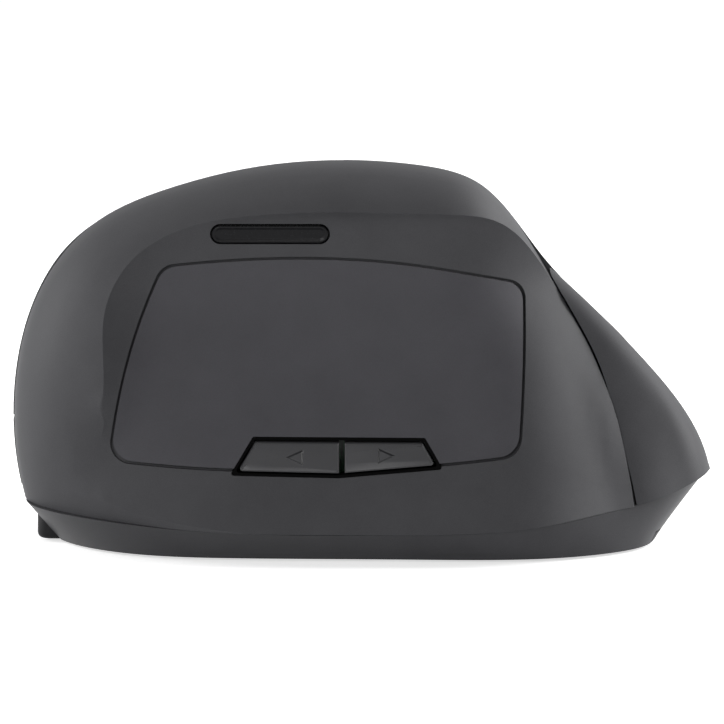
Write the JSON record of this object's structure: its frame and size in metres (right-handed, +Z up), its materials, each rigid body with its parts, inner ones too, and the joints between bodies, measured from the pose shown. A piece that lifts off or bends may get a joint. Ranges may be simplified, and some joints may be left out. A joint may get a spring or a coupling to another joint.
{
  "type": "computer mouse",
  "caption": "Wireless vertical mouse: tall leaning body with a scooped thumb rest, thumb keys, hinged main keys, a scroll wheel and a sliding battery door.",
  "frame": {"origin": "on the desk, under the middle of the whole mouse's box", "axes": "+X from the nose to the heel of the hand, +Y from the thumb side to the finger side, +Z up"},
  "size_m": [0.121, 0.0743, 0.0662],
  "materials": {
    "shell_graphite": "fine matt grain",
    "grip_rubber": "soft matt",
    "gloss_black": "gloss",
    "key_grey": "satin",
    "base_grey": "satin",
    "base_black": "fine texture",
    "glide_grey": "smooth and slippery",
    "board_green": "solder mask",
    "switch_black": "moulded",
    "frame_grey": "moulded",
    "cradle_white": "waxy, natural",
    "wheel_hub": "semi-gloss",
    "wheel_rubber": "ribbed",
    "steel": "plated",
    "cell_can": "printed sleeve",
    "clear_lens": "clear"
  },
  "bodies": {
    "housing": {"thumb_shell": "shell_graphite", "thumb_grip_panel": "grip_rubber", "side_button_bezel": "gloss_black", "side_button_board": "board_green", "back_tact_switch": "switch_black", "forward_tact_switch": "switch_black", "dpi_tact_switch": "switch_black", "dpi_board": "board_green", "palm_shell": "shell_graphite", "tail_cover": "shell_graphite", "key_hinge_pin": "steel", "switch_board": "board_green", "switch_frame": "frame_grey", "wheel_switch": "switch_black", "left_micro_switch": "switch_black", "right_micro_switch": "switch_black", "base_skirt": "base_grey", "bottom_plate": "base_black", "front_glide": "glide_grey", "rear_glide": "glide_grey", "battery_tray": "base_black", "battery_cell_a": "cell_can", "battery_cell_b": "cell_can", "battery_contacts": "steel", "battery_springs": "steel", "main_board": "board_green", "sensor_chip": "switch_black", "sensor_lens": "clear_lens", "controller_chip": "switch_black", "power_switch_body": "switch_black", "base_screws": "steel", "board_screws": "steel"},
    "left_key": {"left_button": "shell_graphite"},
    "right_key": {"right_button": "shell_graphite"},
    "back_key": {"back_button": "key_grey"},
    "forward_key": {"forward_button": "key_grey"},
    "pill_key": {"dpi_button": "gloss_black"},
    "cradle": {"wheel_cradle": "cradle_white", "wheel_encoder": "switch_black"},
    "wheel": {"scroll_wheel": "wheel_hub", "wheel_tyre": "wheel_rubber"},
    "knob": {"power_switch_knob": "cradle_white"},
    "door": {"battery_door": "base_black"}
  },
  "joints": [
    {"name": "left_button_press", "type": "hinge", "parent": "housing", "child": "left_key", "pos_m": [-0.0004, 0.0201, 0.03267], "axis": [0, -0.4226, 0.9063], "range_deg": [0, 0.7], "stiffness_Nm_per_rad": 1.5, "springref_deg": -0.34},
    {"name": "right_button_press", "type": "hinge", "parent": "housing", "child": "right_key", "pos_m": [-0.0004, 0.0201, 0.03267], "axis": [0, -0.4226, 0.9063], "range_deg": [0, 0.7], "stiffness_Nm_per_rad": 1.5, "springref_deg": -0.34},
    {"name": "back_button_press", "type": "slide", "parent": "housing", "child": "back_key", "axis": [0, 1, 0], "range_m": [0, 0.0006], "stiffness_N_per_m": 600, "springref_m": -0.0008},
    {"name": "forward_button_press", "type": "slide", "parent": "housing", "child": "forward_key", "axis": [0, 1, 0], "range_m": [0, 0.0006], "stiffness_N_per_m": 600, "springref_m": -0.0008},
    {"name": "dpi_button_press", "type": "slide", "parent": "housing", "child": "pill_key", "axis": [0, 1, 0], "range_m": [0, 0.0005], "stiffness_N_per_m": 600, "springref_m": -0.0008},
    {"name": "wheel_press", "type": "slide", "parent": "housing", "child": "cradle", "axis": [0, -0.9063, -0.4226], "range_m": [0, 0.0005], "stiffness_N_per_m": 800, "springref_m": -0.001},
    {"name": "wheel_roll", "type": "hinge", "parent": "cradle", "child": "wheel", "pos_m": [-0.034, 0.01571, 0.03062], "axis": [0, 0.4226, -0.9063], "continuous": true},
    {"name": "power_switch_slide", "type": "slide", "parent": "housing", "child": "knob", "axis": [1, 0, 0], "range_m": [0, 0.003]},
    {"name": "battery_door_slide", "type": "slide", "parent": "housing", "child": "door", "axis": [1, 0, 0], "range_m": [0, 0.006]}
  ]
}
